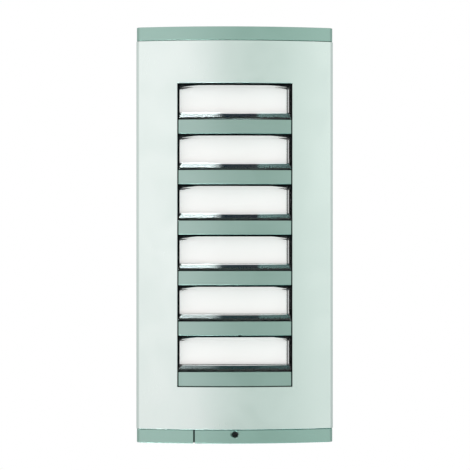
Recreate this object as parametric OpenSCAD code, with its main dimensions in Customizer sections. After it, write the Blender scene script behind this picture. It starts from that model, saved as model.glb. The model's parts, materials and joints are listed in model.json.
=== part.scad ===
// Door call panel: a crowned aluminium front with six name plate windows and six bar buttons,
// hung by its top edge on a wall box and held shut by one lock screw at the bottom.
// Millimetres. X is to the right, Y goes into the wall, Z is up. The wall is the plane y = 0,
// and a depth d is a distance in front of the wall, so y = -d.

/* [Front] */
// Width of the front
panel_w = 117.5; // [114:0.5:150]
// Depth of the front at its middle
panel_d = 30; // [29:0.5:40]
// Radius of the crowned front face
crown_r = 288; // [240:1:600]
// Wall of the aluminium profile
wall_t = 2; // [1.6:0.1:2.4]
// Bevel on the two long front edges
edge_bevel = 1.2; // [0.6:0.1:2]
// Plain front above and below the window
margin_h = 25.5; // [22:0.5:50]
// Gap between the front's rear edges and the wall
wall_gap = 1.2; // [0.8:0.1:2]

/* [Window] */
// Width of the window
window_w = 68.4; // [56:0.1:69]
// Gap between the window's ends and the outer call units
end_gap = 0.25; // [0.2:0.05:0.6]
// Gap beside the lenses and buttons
side_gap = 0.5; // [0.4:0.05:0.8]

/* [Call units] */
// Number of call units
call_count = 6; // [4:1:8]
// Distance from one call unit to the next
call_pitch = 30; // [25:0.5:40]
// Height of a bar button
button_h = 8.4; // [7.8:0.1:10]
// Gap above a lens
lens_gap = 1.1; // [0.8:0.05:1.6]
// Gap between a lens and its button
button_gap = 0.6; // [0.4:0.05:0.8]
// Travel of a button
button_travel = 1.5; // [0.8:0.1:1.6]
// Depth of the button's front behind the crowned face
button_recess = 0.8; // [0.5:0.1:1.2]
// Depth of the lens's front behind the crowned face
lens_recess = 1; // [0.6:0.1:1.4]
// Width of the lens's bevel at its two sides
bevel_side = 2.2; // [1.5:0.1:3]
// Width of the lens's bevel at its top
bevel_top = 1.3; // [1:0.1:2.5]
// Width of the lens's bevel at its bottom
bevel_foot = 3.7; // [2.5:0.1:4]
// Depth of the lens's bevels
bevel_d = 1.8; // [1:0.1:2.2]
// How far the plate's upper edge curves down at its two corners
card_drop = 2.2; // [0.4:0.1:2.6]
// Length of each curved corner
card_curve = 18; // [10:0.5:24]
// Thickness of a name card
card_t = 0.3; // [0.2:0.05:0.5]

/* [End caps] */
// Height of an end cap
cap_h = 8; // [7.5:0.1:10]
// Wall of an end cap
cap_t = 2; // [1.6:0.1:2.2]
// Shut line between a cap and the profile
cap_gap = 0.3; // [0.2:0.05:0.5]
// How far a cap stands inside the profile's outline
cap_inset = 0.3; // [0.2:0.05:0.5]
// Distance of the split in the bottom cap from the middle
split_x = 24.3; // [20:0.1:30]
// Width of that split
split_gap = 0.8; // [0.5:0.1:1.2]
// Radius of a cap screw
cap_screw_r = 1.5; // [1.2:0.1:1.7]

/* [Wall box] */
// Gap between the wall box's rim and the profile's screw channels
box_room = 1.8; // [1:0.1:4]
// Floor of the wall box
box_floor = 2.5; // [2:0.1:3]
// Walls of the wall box
box_wall = 2.2; // [1.8:0.1:2.6]
// Gap between the wall box and the profile's flanks
box_clear = 1.75; // [1.5:0.05:2.2]
// Distance of the wall screws from the box's sides
wall_screw_side = 25; // [20:0.5:30]
// Distance of the wall screws from the box's ends
wall_screw_end = 23.2; // [16:0.1:40]
// Radius of a wall screw hole
wall_screw_r = 2.3; // [2:0.1:2.8]
// Height of the cable entry above the panel's middle
cable_z = 55; // [45:1:60]
// Radius of the cable bore
cable_r = 4; // [3:0.1:5]

/* [Circuit board] */
// Thickness of the circuit board
board_t = 1.6; // [1.2:0.1:2]
// Width of the circuit board
board_w = 82; // [76:1:84]
// Distance from the crowned face's middle to the board's rear face
board_back = 18; // [17.6:0.1:18.4]

/* [Lock and hinge] */
// Radius of the key hole in the bottom cap
key_r = 1.8; // [1.5:0.1:2.2]
// Height of the key hole above the panel's lower end
key_z = 5.3; // [5:0.1:6]
// Radius of the lock screw
lock_r = 1.5; // [1.2:0.1:1.6]
// Radius of a hinge pin
pin_r = 1.5; // [1.2:0.1:1.6]
// Running clearance of a hinge pin in the front
pin_clear = 0.05; // [0.03:0.01:0.08]
// Height of the hinge line below the panel's upper end
hinge_drop = 5.55; // [5.3:0.05:6]

/* [Hidden] */
$fn = 96;
crown_fn = 256;
small_fn = 32;
fit = 0.2;
overlap = 1;

// Heights
window_h = call_count * call_pitch + 2 * end_gap;
profile_l = window_h + 2 * margin_h;
profile_top = profile_l / 2 - cap_gap;
cap_foot = profile_l / 2;
panel_top = cap_foot + cap_h;
button_foot = 0.2;
lens_h = call_pitch - button_h - lens_gap - button_gap;
function unit_z(i) = call_pitch * ((call_count + 1) / 2 - i);
function button_z(i) = unit_z(i) - call_pitch / 2 + button_foot + button_h / 2;
function lens_z(i) = button_z(i) + button_h / 2 + button_gap + lens_h / 2;

// The crowned face: its axis, and its depth at x for a surface that lies inset behind it
crown_y = crown_r - panel_d;
function crown_d(x, inset = 0) = sqrt(pow(crown_r - inset, 2) - x * x) - crown_y;

// Rails that hold the carrier, and the screw channels
rail_x = window_w / 2 + 9.6;
rail_t = 1.6;
rail_lip = 2;
port_r = 3.2;
port_x = panel_w / 2 - wall_t - 4.75;
port_d = crown_d(port_x, wall_t) - port_r - 1;

// Depths of the carrier, its pockets and the circuit board
plate_front = crown_d(rail_x, wall_t) - 0.6;
plate_rear = plate_front - 2.4;
rest_front = plate_front + 0.5;
rest_rear = rest_front - 5;
pocket_floor = rest_rear + 2.5;
board_rear = panel_d - board_back;
board_front = board_rear + board_t;

// Carrier and the posts that carry the board
rest_clear = 0.35;
rest_w = window_w - 2 * rest_clear;
rest_h = window_h - 2 * rest_clear;
carrier_w = 2 * (rail_x - fit);
carrier_h = window_h + 18;
post_x = window_w / 2 + 3.8;
post_z = carrier_h / 2 - 5;
post_r = 3;
board_screw_r = 1.2;
board_h = carrier_h - 4;

// Lens, its flat front, and the pocket behind that
lens_w = window_w - 2 * side_gap;
flat_w = lens_w - 2 * bevel_side;
flat_h = lens_h - bevel_top - bevel_foot;
function flat_z(i) = lens_z(i) + (bevel_foot - bevel_top) / 2;
pocket_w = flat_w + 2.4;
pocket_h = flat_h + 2 * fit;
curve_r = pow(card_curve, 2) / (2 * card_drop) + card_drop / 2;
light_w = pocket_w - 5;
light_h = pocket_h - 4;
post_rows = [-1, 0, 1];

// Button guides and switches
guide_x = rest_w / 2 - 7.35;
guide_w = 5;
guide_h = 4.8;
stem_w = 6;
spring_x = guide_x - 12.5;
spring_r = 2;
spring_wire = 0.5;
spring_well_r = 2.5;
spring_post_r = 1.25;
barb = 1.1;
barb_t = 1.4;
button_w = lens_w - 0.2;
button_rear = rest_front + button_travel + 0.3;
stem_rear = rest_rear - 0.5;
switch_h = 3.5;
switch_w = 9;
plunger_r = 1.5;
plunger_clear = 0.1;
plunger_l = stem_rear - board_front - button_travel - 0.25;
diffuser_t = 1.5;
diffuser_rear = rest_rear - diffuser_t;

// Wall box, hinge and lock
box_w = panel_w - 2 * wall_t - 2 * box_clear;
box_h = profile_l - 5.1;
box_d = port_d - port_r - box_room;
wall_screw_x = box_w / 2 - wall_screw_side;
wall_screw_z = box_h / 2 - wall_screw_end;
seal_w = 2.6;
seal_t = 1;
seal_inset = 1;
hinge_z = panel_top - hinge_drop;
hinge_d = wall_gap + hinge_drop;
ear_r = 3;
ear_t = 3;
ear_x = box_w / 2 - 10;
lug_t = 4;
lug_x = ear_x - ear_t / 2 - 0.3 - lug_t / 2;
key_height = key_z - panel_top;
lock_boss_r = 3;
lock_boss_top = 13;
lock_hole_r = lock_r + 0.25;
lock_head_r = 2.75;
lock_head_l = 3;
lock_seat = 18;
lock_tip = 7;
lock_sleeve_r = 4;
collar_t = 2;
sleeve_top = panel_d - cap_inset - cap_t - 0.4;

// A block between two x values, two depths and two heights
module block(x, d, z) {
    translate([x[0], -d[1], z[0]]) cube([x[1] - x[0], d[1] - d[0], z[1] - z[0]]);
}

// A block centred on x = 0 and on a height
module bar(w, d, z, h) {
    block([-w / 2, w / 2], d, [z - h / 2, z + h / 2]);
}

// A cylinder along Y between two depths
module rod(r, x, d, z, fn = small_fn) {
    translate([x, -d[0], z]) rotate([90, 0, 0]) cylinder(r = r, h = d[1] - d[0], $fn = fn);
}

// A cone along Y, from radius r[0] at depth d[0] to r[1] at d[1]
module taper(r, x, d, z) {
    translate([x, -d[0], z]) rotate([90, 0, 0])
        cylinder(r1 = r[0], r2 = r[1], h = d[1] - d[0], $fn = small_fn);
}

// A cylinder along Z between two heights
module column(r, x, d, z, fn = small_fn) {
    translate([x, -d, z[0]]) cylinder(r = r, h = z[1] - z[0], $fn = fn);
}

// A cylinder along X between two x values
module axle(r, x, d, z) {
    translate([x[0], -d, z]) rotate([0, 90, 0]) cylinder(r = r, h = x[1] - x[0], $fn = small_fn);
}

// Plan outline of the crowned front, w wide, its face inset behind the crown
module crown_outline(w, inset, rear, bevel) {
    corner = bevel - crown_d(w / 2, inset);
    reach = 12;
    intersection() {
        translate([0, crown_y]) circle(r = crown_r - inset, $fn = crown_fn);
        polygon([
            [-w / 2, -rear], [-w / 2, corner], [reach - w / 2, corner - reach],
            [w / 2 - reach, corner - reach], [w / 2, corner], [w / 2, -rear]
        ]);
    }
}

// Plan strip between two insets behind the crown, cut to the x values and the depths given
module crown_strip(x, inset, d) {
    intersection() {
        difference() {
            translate([0, crown_y]) circle(r = crown_r - inset[0], $fn = crown_fn);
            translate([0, crown_y]) circle(r = crown_r - inset[1], $fn = crown_fn);
        }
        translate([x[0], -d[1]]) square([x[1] - x[0], d[1] - d[0]]);
    }
}

// ---- Front ----

module rail(side) {
    lip_front = plate_rear;
    lip_rear = lip_front - rail_t;
    web_front = crown_d(rail_x, wall_t) + 0.7;
    mirror([side > 0 ? 0 : 1, 0]) {
        translate([rail_x, -web_front]) square([rail_t, web_front - lip_rear]);
        translate([rail_x - rail_lip, -lip_front]) square([rail_lip + rail_t, rail_t]);
    }
}

module screw_channel(side) {
    flank = panel_w / 2 - wall_t / 2;
    mirror([side > 0 ? 0 : 1, 0]) {
        translate([port_x, -port_d]) circle(r = port_r, $fn = small_fn);
        translate([port_x, -port_d - wall_t / 2]) square([flank - port_x, wall_t]);
    }
}

module profile_section() {
    difference() {
        union() {
            difference() {
                crown_outline(panel_w, 0, wall_gap, edge_bevel);
                crown_outline(panel_w - 2 * wall_t, wall_t, wall_gap - overlap, 0.4);
            }
            for (side = [-1, 1]) {
                rail(side);
                screw_channel(side);
            }
        }
        for (side = [-1, 1])
            translate([side * port_x, -port_d]) circle(r = cap_screw_r - 0.25, $fn = small_fn);
    }
}

module front_profile() {
    color("lightgray") difference() {
        translate([0, 0, -profile_top]) linear_extrude(2 * profile_top) profile_section();
        bar(window_w, [plate_front - rail_t, panel_d + overlap], 0, window_h);
    }
}

// Shell of an upper end cap between two x values, with its crowned skirt and top plate
module cap_shell(x) {
    inset = cap_inset;
    w = panel_w - 2 * inset;
    difference() {
        intersection() {
            translate([0, 0, cap_foot]) linear_extrude(cap_h)
                crown_outline(w, inset, wall_gap, edge_bevel);
            block(x, [0, panel_d], [cap_foot, panel_top]);
        }
        translate([0, 0, cap_foot - overlap]) linear_extrude(cap_h - cap_t + overlap)
            crown_outline(w - 2 * cap_t, inset + cap_t, wall_gap - overlap, 0.4);
        // the rear edge is round about the hinge line, so that the cap clears the wall
        difference() {
            block([-panel_w, panel_w], [0, hinge_d], [hinge_z, panel_top + overlap]);
            axle(hinge_drop, [-panel_w, panel_w], hinge_d, hinge_z);
        }
    }
}

// Boss round a cap screw, down to the profile's end
module cap_boss(side) {
    column(port_r + 0.3, side * port_x, port_d, [profile_top, panel_top - cap_t / 2]);
}

module cap_screw_hole(side) {
    x = side * port_x;
    column(cap_screw_r + fit, x, port_d, [cap_foot - overlap, panel_top + overlap]);
    translate([x, -port_d, panel_top - 1.8])
        cylinder(r1 = cap_screw_r + fit, r2 = cap_screw_r + fit + 1.8, h = 1.81, $fn = small_fn);
}

// Tongue that locates a cap inside the profile, behind its crowned wall
module cap_tongue(x) {
    inset = wall_t + fit;
    translate([0, 0, cap_foot - 3]) linear_extrude(cap_h - cap_t / 2 + 3)
        crown_strip(x, [inset, inset + 1.4], [0, panel_d]);
}

module top_cap() {
    color("darkseagreen") difference() {
        union() {
            cap_shell([-panel_w, panel_w]);
            cap_tongue([-rail_x + 3, rail_x - 3]);
            for (side = [-1, 1]) {
                cap_boss(side);
                hinge_lug(side);
            }
        }
        for (side = [-1, 1]) cap_screw_hole(side);
        for (side = [-1, 1])
            axle(pin_r + pin_clear, [side * lug_x - lug_t, side * lug_x + lug_t], hinge_d, hinge_z);
    }
}

module hinge_lug(side) {
    x = side * lug_x;
    axle(ear_r, [x - lug_t / 2, x + lug_t / 2], hinge_d, hinge_z);
    block([x - lug_t / 2, x + lug_t / 2], [hinge_d - ear_r, hinge_d + ear_r],
          [hinge_z, panel_top - cap_t / 2]);
}

// Both lower pieces are the upper shell turned over
module lower(x) {
    mirror([0, 0, 1]) {
        cap_shell(x);
        for (side = [-1, 1])
            if (side * port_x > x[0] && side * port_x < x[1]) cap_boss(side);
        if (x[1] > 0) cap_tongue([6, rail_x - 3]);
        if (x[0] < 0 && x[1] > 0) cap_tongue([x[0] + 1, -6]);
        if (x[1] < 0) cap_tongue([3 - rail_x, x[1] - 1]);
    }
}

module bottom_cap() {
    color("darkseagreen") difference() {
        union() {
            lower([split_gap / 2 - split_x, panel_w]);
            rod(lock_sleeve_r, 0, [lock_seat - collar_t - 1, sleeve_top], key_height);
            intersection() {
                rod(lock_sleeve_r, 0, [sleeve_top - 1, sleeve_top + 1], key_height);
                block([-panel_w, panel_w], [0, panel_d], [-panel_top, -cap_foot]);
            }
        }
        mirror([0, 0, 1]) cap_screw_hole(1);
        rod(key_r, 0, [0, panel_d + overlap], key_height);
        rod(lock_head_r + fit, 0, [0, sleeve_top], key_height);
        taper([key_r, key_r + 0.5 + overlap], 0, [panel_d - cap_inset - 0.5, panel_d - cap_inset + overlap],
              key_height);
    }
}

module bottom_cap_side_piece() {
    color("darkseagreen") difference() {
        lower([-panel_w, -split_x - split_gap / 2]);
        mirror([0, 0, 1]) cap_screw_hole(-1);
    }
}

// Rubber strip behind the split in the bottom cap, with a fin that fills the split
module cap_split_seal() {
    back = cap_inset + cap_t;
    color("dimgray") translate([0, 0, -cap_foot]) mirror([0, 0, 1]) {
        linear_extrude(cap_h - cap_t) crown_strip([-split_x - 1.2, -split_x + 1.2], [back, back + 1.2], [0, panel_d]);
        linear_extrude(cap_h - 0.5)
            crown_strip([-split_x - split_gap / 2, -split_x + split_gap / 2], [cap_inset + 1.2, back + 1.2],
                        [0, panel_d]);
    }
}

module cap_screw() {
    head_t = 1.6;
    seat = panel_top - 0.1;
    difference() {
        union() {
            column(cap_screw_r - 0.3, 0, 0, [cap_foot - 7, seat - head_t]);
            translate([0, 0, seat - head_t])
                cylinder(r1 = cap_screw_r + fit, r2 = cap_screw_r + fit + head_t, h = head_t, $fn = small_fn);
        }
        for (turn = [0, 90]) rotate([0, 0, turn])
            translate([-1.4, -0.3, seat - 0.9]) cube([2.8, 0.6, 1]);
    }
}

module cap_screws() {
    color("silver") for (side = [-1, 1], end = [0, 1])
        translate([side * port_x, -port_d, 0]) mirror([0, 0, end]) cap_screw();
}

module window_gasket() {
    color("dimgray") difference() {
        translate([0, 0, -window_h / 2 - 7]) linear_extrude(window_h + 14)
            crown_strip([2 - rail_x, rail_x - 2], [wall_t, wall_t + 12], [plate_front, panel_d]);
        bar(window_w + 0.6, [0, panel_d], 0, window_h + 0.6);
    }
}

// ---- Call units ----

module guide_slots(z, room) {
    for (side = [-1, 1])
        bar_at(side * guide_x, guide_w + 2 * room, z, guide_h + 2 * room);
    bar_at(0, stem_w + 2 * room, z, guide_h + 2 * room);
}

// A through cut in the carrier or diffuser at one x
module bar_at(x, w, z, h) {
    block([x - w / 2, x + w / 2], [0, panel_d], [z - h / 2, z + h / 2]);
}

// Plate behind a lens's flat, with two curved upper corners, grown by a margin
module arched(x, d, i, margin) {
    foot = flat_z(i) - flat_h / 2 - margin;
    top = flat_z(i) + flat_h / 2 + 0.75 * bevel_top;
    turn = pocket_w / 2 - card_curve;
    translate([0, -d[0], 0]) rotate([90, 0, 0]) linear_extrude(d[1] - d[0]) intersection() {
        translate([x[0], foot]) square([x[1] - x[0], lens_h]);
        union() {
            translate([-turn, foot - 1]) square([2 * turn, top + margin - foot + 0.98]);
            for (side = [-1, 1])
                translate([side * turn, top - curve_r]) circle(r = curve_r + margin, $fn = crown_fn);
        }
    }
}

module call_carrier() {
    color("#2b3133") difference() {
        union() {
            bar(rest_w, [rest_rear, rest_front], 0, rest_h);
            bar(carrier_w, [plate_rear, plate_front], 0, carrier_h);
            for (side = [-1, 1], row = post_rows)
                rod(post_r, side * post_x, [board_front, plate_rear + overlap], row * post_z);
        }
        for (i = [1:call_count]) {
            arched([-pocket_w / 2, pocket_w / 2], [pocket_floor, panel_d], i, fit);
            bar(light_w, [0, panel_d], flat_z(i), light_h);
            guide_slots(button_z(i), fit);
            for (side = [-1, 1])
                rod(spring_well_r, side * spring_x, [pocket_floor - 1.5, panel_d], button_z(i));
        }
        for (side = [-1, 1], row = post_rows)
            rod(board_screw_r + 0.05, side * post_x, [0, plate_rear], row * post_z);
    }
}

module light_diffuser() {
    slot_w = 2 * (guide_x + guide_w / 2 + barb + 0.5);
    pad_front = pocket_floor - 0.1;
    color("white", 0.8) difference() {
        union() {
            bar(rest_w - 1, [diffuser_rear, rest_rear], 0, rest_h - 1);
            for (i = [1:call_count])
                bar(light_w - 2 * fit, [diffuser_rear, pad_front], flat_z(i), light_h - 2 * fit);
        }
        for (i = [1:call_count]) bar(slot_w, [0, panel_d], button_z(i), guide_h + 1);
    }
}

// Section of a lens in height and depth, turned about the crown's axis so that it follows it
module lens_section(i) {
    top = lens_z(i) + lens_h / 2;
    foot = lens_z(i) - lens_h / 2;
    face = crown_r - lens_recess;
    polygon([
        [face - 12, foot], [face - bevel_d, foot], [face, foot + bevel_foot],
        [face, top - bevel_top], [face - bevel_d, top], [face - 12, top]
    ]);
}

module nameplate_lens(i) {
    edge = lens_w / 2;
    flat_x = flat_w / 2;
    flat_d = crown_d(flat_x, lens_recess);
    side_d = crown_d(edge, lens_recess + bevel_d);
    slope = (flat_d - side_d) / bevel_side;
    color("white", 0.35) {
        intersection() {
            translate([0, crown_y, 0]) rotate_extrude($fn = crown_fn) lens_section(i);
            translate([0, 0, lens_z(i) - lens_h]) linear_extrude(2 * lens_h) polygon([
                [-edge, -rest_front], [-edge, -side_d], [-flat_x + 2, -flat_d - 2 * slope],
                [flat_x - 2, -flat_d - 2 * slope], [edge, -side_d], [edge, -rest_front]
            ]);
        }
        arched([fit - pocket_w / 2, pocket_w / 2 - fit], [pocket_floor + card_t, rest_front], i, 0);
    }
}

module name_card(i) {
    color("white")
        // the card lies against the left end of its pocket
        arched([fit / 2 - pocket_w / 2, flat_w / 2 - 0.7], [pocket_floor, pocket_floor + card_t], i, -fit / 2);
}

module call_button(i) {
    z = button_z(i);
    barb_rear = rest_rear - 0.1 - barb_t;
    // a small nick in the lower edge of one bar lets a blade lift the lens below it
    nicked = (i == call_count - 1);
    color("darkseagreen") difference() {
        union() {
            translate([0, 0, z - button_h / 2]) linear_extrude(button_h)
                crown_strip([-button_w / 2, button_w / 2], [button_recess, 12], [button_rear, panel_d]);
            for (side = [-1, 1]) {
                leg = side * guide_x;
                tip = leg + side * (guide_w / 2 + barb);
                block([leg - guide_w / 2, leg + guide_w / 2], [barb_rear, button_rear + 0.5],
                      [z - guide_h / 2, z + guide_h / 2]);
                block([min(leg, tip), max(leg, tip)], [barb_rear, barb_rear + barb_t],
                      [z - guide_h / 2, z + guide_h / 2]);
                rod(spring_post_r, side * spring_x, [button_rear - 2, button_rear + 0.5], z);
            }
            bar(stem_w, [stem_rear, button_rear + 0.5], z, guide_h);
        }
        if (nicked) rod(0.8, 3, [button_rear + 1, panel_d + 1], z - button_h / 2);
    }
}

module button_springs(i) {
    color("silver") for (side = [-1, 1]) difference() {
        rod(spring_r, side * spring_x, [pocket_floor - 1.5, button_rear], button_z(i));
        rod(spring_r - spring_wire, side * spring_x, [0, panel_d], button_z(i));
    }
}

module switch_housing(i) {
    z = button_z(i);
    top = board_front + switch_h;
    color("black") difference() {
        union() {
            bar(switch_w, [board_front, top - 0.6], z, 8);
            bar(switch_w - 2, [board_front, top], z, 6);
        }
        rod(plunger_r + plunger_clear, 0, [board_front + 0.2, top + 1], z);
    }
}

module switch_plunger(i) {
    color("ivory") rod(plunger_r, 0, [stem_rear - plunger_l, stem_rear], button_z(i));
}

// ---- Circuit board ----

module circuit_board() {
    color("darkgreen") difference() {
        bar(board_w, [board_rear, board_front], 0, board_h);
        for (side = [-1, 1], row = post_rows)
            rod(board_screw_r + 0.2, side * post_x, [0, panel_d], row * post_z);
    }
}

module circuit_board_screws() {
    color("silver") for (side = [-1, 1], row = post_rows) {
        x = side * post_x;
        z = row * post_z;
        difference() {
            union() {
                rod(board_screw_r, x, [board_rear, board_front + 5], z);
                rod(board_screw_r + 1, x, [board_rear - 1.6, board_rear], z);
            }
            for (w = [[1.5, 0.35], [0.35, 1.5]])
                block([x - w[0], x + w[0]], [0, board_rear - 0.8], [z - w[1], z + w[1]]);
        }
    }
}

module nameplate_leds() {
    lamp_x = light_w / 2 - 12;
    color("ivory") for (i = [1:call_count], x = [-lamp_x, lamp_x])
        block([x - 1.5, x + 1.5], [board_front, board_front + 1.1], [flat_z(i) - 1, flat_z(i) + 1]);
}

terminal_count = 8;
terminal_pitch = 5;
terminal_z = -58;
terminal_h = 9;
terminal_d = board_rear - box_floor - 1.2;

module board_components() {
    color("dimgray") {
        for (x = [-22, -11]) rod(4, x, [box_floor + 2.5, board_rear], -32);
        block([6, 22], [board_rear - 2.6, board_rear], [-38, -26]);
        block([-16, -6], [board_rear - 1.8, board_rear], [2, 12]);
        for (x = [2, 8, 14, 20]) block([x, x + 3], [board_rear - 1.1, board_rear], [4, 10]);
        for (x = [-17.5:5:17.5])
            block([x - 1, x + 1], [board_rear - 1.4, board_rear], [terminal_z + 8, terminal_z + 12]);
    }
}

function terminal_x(k) = terminal_pitch * (k - (terminal_count + 1) / 2);

module terminal_block() {
    w = terminal_count * terminal_pitch;
    color("seagreen") difference() {
        bar(w, [board_rear - terminal_d, board_rear], terminal_z, terminal_h);
        for (k = [1:terminal_count]) {
            rod(1.9, terminal_x(k), [0, board_rear - 2], terminal_z + 1);
            block([terminal_x(k) - 1.6, terminal_x(k) + 1.6], [board_rear - 5, board_rear - 1.8],
                  [terminal_z - terminal_h, terminal_z - 2]);
        }
    }
}

module terminal_screws() {
    head = board_rear - terminal_d + 1;
    color("silver") for (k = [1:terminal_count]) difference() {
        union() {
            rod(1.7, terminal_x(k), [head, head + 2], terminal_z + 1);
            rod(1.1, terminal_x(k), [head + 1, board_rear - 2], terminal_z + 1);
        }
        block([terminal_x(k) - 2, terminal_x(k) + 2], [0, head + 0.7], [terminal_z + 0.7, terminal_z + 1.3]);
    }
}

// ---- Lock screw ----

module lock_screw() {
    color("dimgray") difference() {
        union() {
            rod(lock_r, 0, [lock_tip, lock_seat + 1], key_height);
            rod(lock_head_r, 0, [lock_seat, lock_seat + lock_head_l], key_height);
        }
        rod(1.45, 0, [lock_seat + 1, lock_seat + lock_head_l + 1], key_height, 6);
    }
}

module lock_screw_collar() {
    color("silver") difference() {
        rod(lock_head_r + fit, 0, [lock_seat - collar_t, lock_seat - 0.1], key_height);
        rod(lock_r + 0.08, 0, [0, panel_d], key_height);
    }
}

// ---- Wall box ----

module seal_ring(room, t) {
    outer_w = box_w - 2 * seal_inset + 2 * room;
    outer_h = box_h - 2 * seal_inset + 2 * room;
    inner = 2 * (seal_w + 2 * room);
    difference() {
        bar(outer_w, [0, t], 0, outer_h);
        bar(outer_w - inner, [-1, t + 1], 0, outer_h - inner);
    }
}

module hinge_ear(side) {
    x = side * ear_x;
    axle(ear_r, [x - ear_t / 2, x + ear_t / 2], hinge_d, hinge_z);
    block([x - ear_t / 2, x + ear_t / 2], [hinge_d - ear_r, hinge_d + ear_r],
          [box_h / 2 - box_wall, hinge_z]);
}

module wall_box() {
    inner_w = box_w - 2 * box_wall;
    inner_h = box_h - 2 * box_wall;
    color("gainsboro") difference() {
        union() {
            difference() {
                bar(box_w, [0, box_d], 0, box_h);
                bar(inner_w, [box_floor, box_d + 1], 0, inner_h);
            }
            for (side = [-1, 1]) {
                hinge_ear(side);
                for (z = [-1, 1])
                    rod(wall_screw_r + 2.5, side * wall_screw_x, [box_floor - 1, box_floor + 1.5],
                        z * wall_screw_z);
            }
            rod(lock_boss_r, 0, [0, lock_boss_top], key_height);
            block([-lock_boss_r, lock_boss_r], [0, lock_boss_top], [key_height, -inner_h / 2]);
        }
        for (side = [-1, 1]) {
            axle(pin_r, [side * ear_x - ear_t, side * ear_x + ear_t], hinge_d, hinge_z);
            for (z = [-1, 1])
                rod(wall_screw_r, side * wall_screw_x, [-1, box_d], z * wall_screw_z);
        }
        rod(cable_r + 2.2, 0, [-1, box_d], cable_z);
        rod(lock_hole_r, 0, [lock_tip - 1.5, panel_d], key_height);
        seal_ring(0.1, seal_t);
    }
}

module wall_seal() {
    color("dimgray") seal_ring(0, seal_t);
}

module cable_grommet() {
    color("dimgray") difference() {
        union() {
            rod(cable_r + 2.2, 0, [0.1, box_floor], cable_z);
            rod(cable_r + 4, 0, [box_floor, box_floor + 2.5], cable_z);
        }
        rod(cable_r, 0, [-1, box_d], cable_z);
    }
}

module hinge_pins() {
    color("silver") for (side = [-1, 1]) {
        inner = lug_x - lug_t / 2 - 1;
        outer = ear_x + ear_t / 2 + 1;
        axle(pin_r, side > 0 ? [inner, outer] : [-outer, -inner], hinge_d, hinge_z);
    }
}

// ---- One node at a time, or the whole panel ----

wall_box();
wall_seal();
cable_grommet();
hinge_pins();
front_profile();
top_cap();
bottom_cap();
bottom_cap_side_piece();
cap_screws();
cap_split_seal();
window_gasket();
call_carrier();
light_diffuser();
circuit_board();
circuit_board_screws();
nameplate_leds();
board_components();
terminal_block();
terminal_screws();
lock_screw();
lock_screw_collar();
for (i = [1:call_count]) {
    nameplate_lens(i);
    name_card(i);
    call_button(i);
    button_springs(i);
    switch_housing(i);
    switch_plunger(i);
}
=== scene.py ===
"""Door call panel: finishes, detailed pieces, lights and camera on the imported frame.

The aluminium front carries six name plates and six bar buttons. It hangs on a wall box and swings open
from the bottom, so the parts behind it are dressed too. Sizes are in metres unless a name ends in _mm.
"""
import json
import logging
import math
from dataclasses import dataclass, field
from enum import Enum

import bmesh
import bpy
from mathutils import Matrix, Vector


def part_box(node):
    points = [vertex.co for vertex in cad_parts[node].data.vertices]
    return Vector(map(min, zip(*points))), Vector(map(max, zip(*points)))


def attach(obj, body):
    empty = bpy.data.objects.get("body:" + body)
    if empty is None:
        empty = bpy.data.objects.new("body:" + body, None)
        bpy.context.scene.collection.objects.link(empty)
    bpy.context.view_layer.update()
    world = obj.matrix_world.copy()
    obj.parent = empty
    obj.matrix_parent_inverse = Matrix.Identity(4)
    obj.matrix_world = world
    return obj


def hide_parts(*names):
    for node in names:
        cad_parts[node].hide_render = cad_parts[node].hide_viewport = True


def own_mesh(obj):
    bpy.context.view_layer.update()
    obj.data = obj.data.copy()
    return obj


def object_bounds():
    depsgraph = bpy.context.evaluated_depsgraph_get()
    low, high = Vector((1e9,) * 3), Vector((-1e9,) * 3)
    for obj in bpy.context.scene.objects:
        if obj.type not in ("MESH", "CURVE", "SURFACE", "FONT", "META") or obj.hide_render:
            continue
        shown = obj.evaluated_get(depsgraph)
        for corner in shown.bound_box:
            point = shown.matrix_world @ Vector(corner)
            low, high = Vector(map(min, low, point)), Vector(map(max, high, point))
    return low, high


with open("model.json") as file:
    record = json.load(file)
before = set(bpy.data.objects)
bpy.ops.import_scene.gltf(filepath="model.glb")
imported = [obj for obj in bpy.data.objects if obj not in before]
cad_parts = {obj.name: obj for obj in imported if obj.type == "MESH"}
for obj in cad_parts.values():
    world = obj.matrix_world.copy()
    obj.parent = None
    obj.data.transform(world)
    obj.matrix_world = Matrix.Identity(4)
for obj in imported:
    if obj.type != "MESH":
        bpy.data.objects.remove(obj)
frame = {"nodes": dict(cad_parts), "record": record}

CAD_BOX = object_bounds()
MM = 0.001
CALLS = range(1, 7)
log = logging.getLogger("call_panel")

Colour = tuple[float, float, float]
Stops = tuple[tuple[float, Colour], ...]
Socket = bpy.types.NodeSocket
Node = bpy.types.Node


# ---- Shader trees ----


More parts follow.
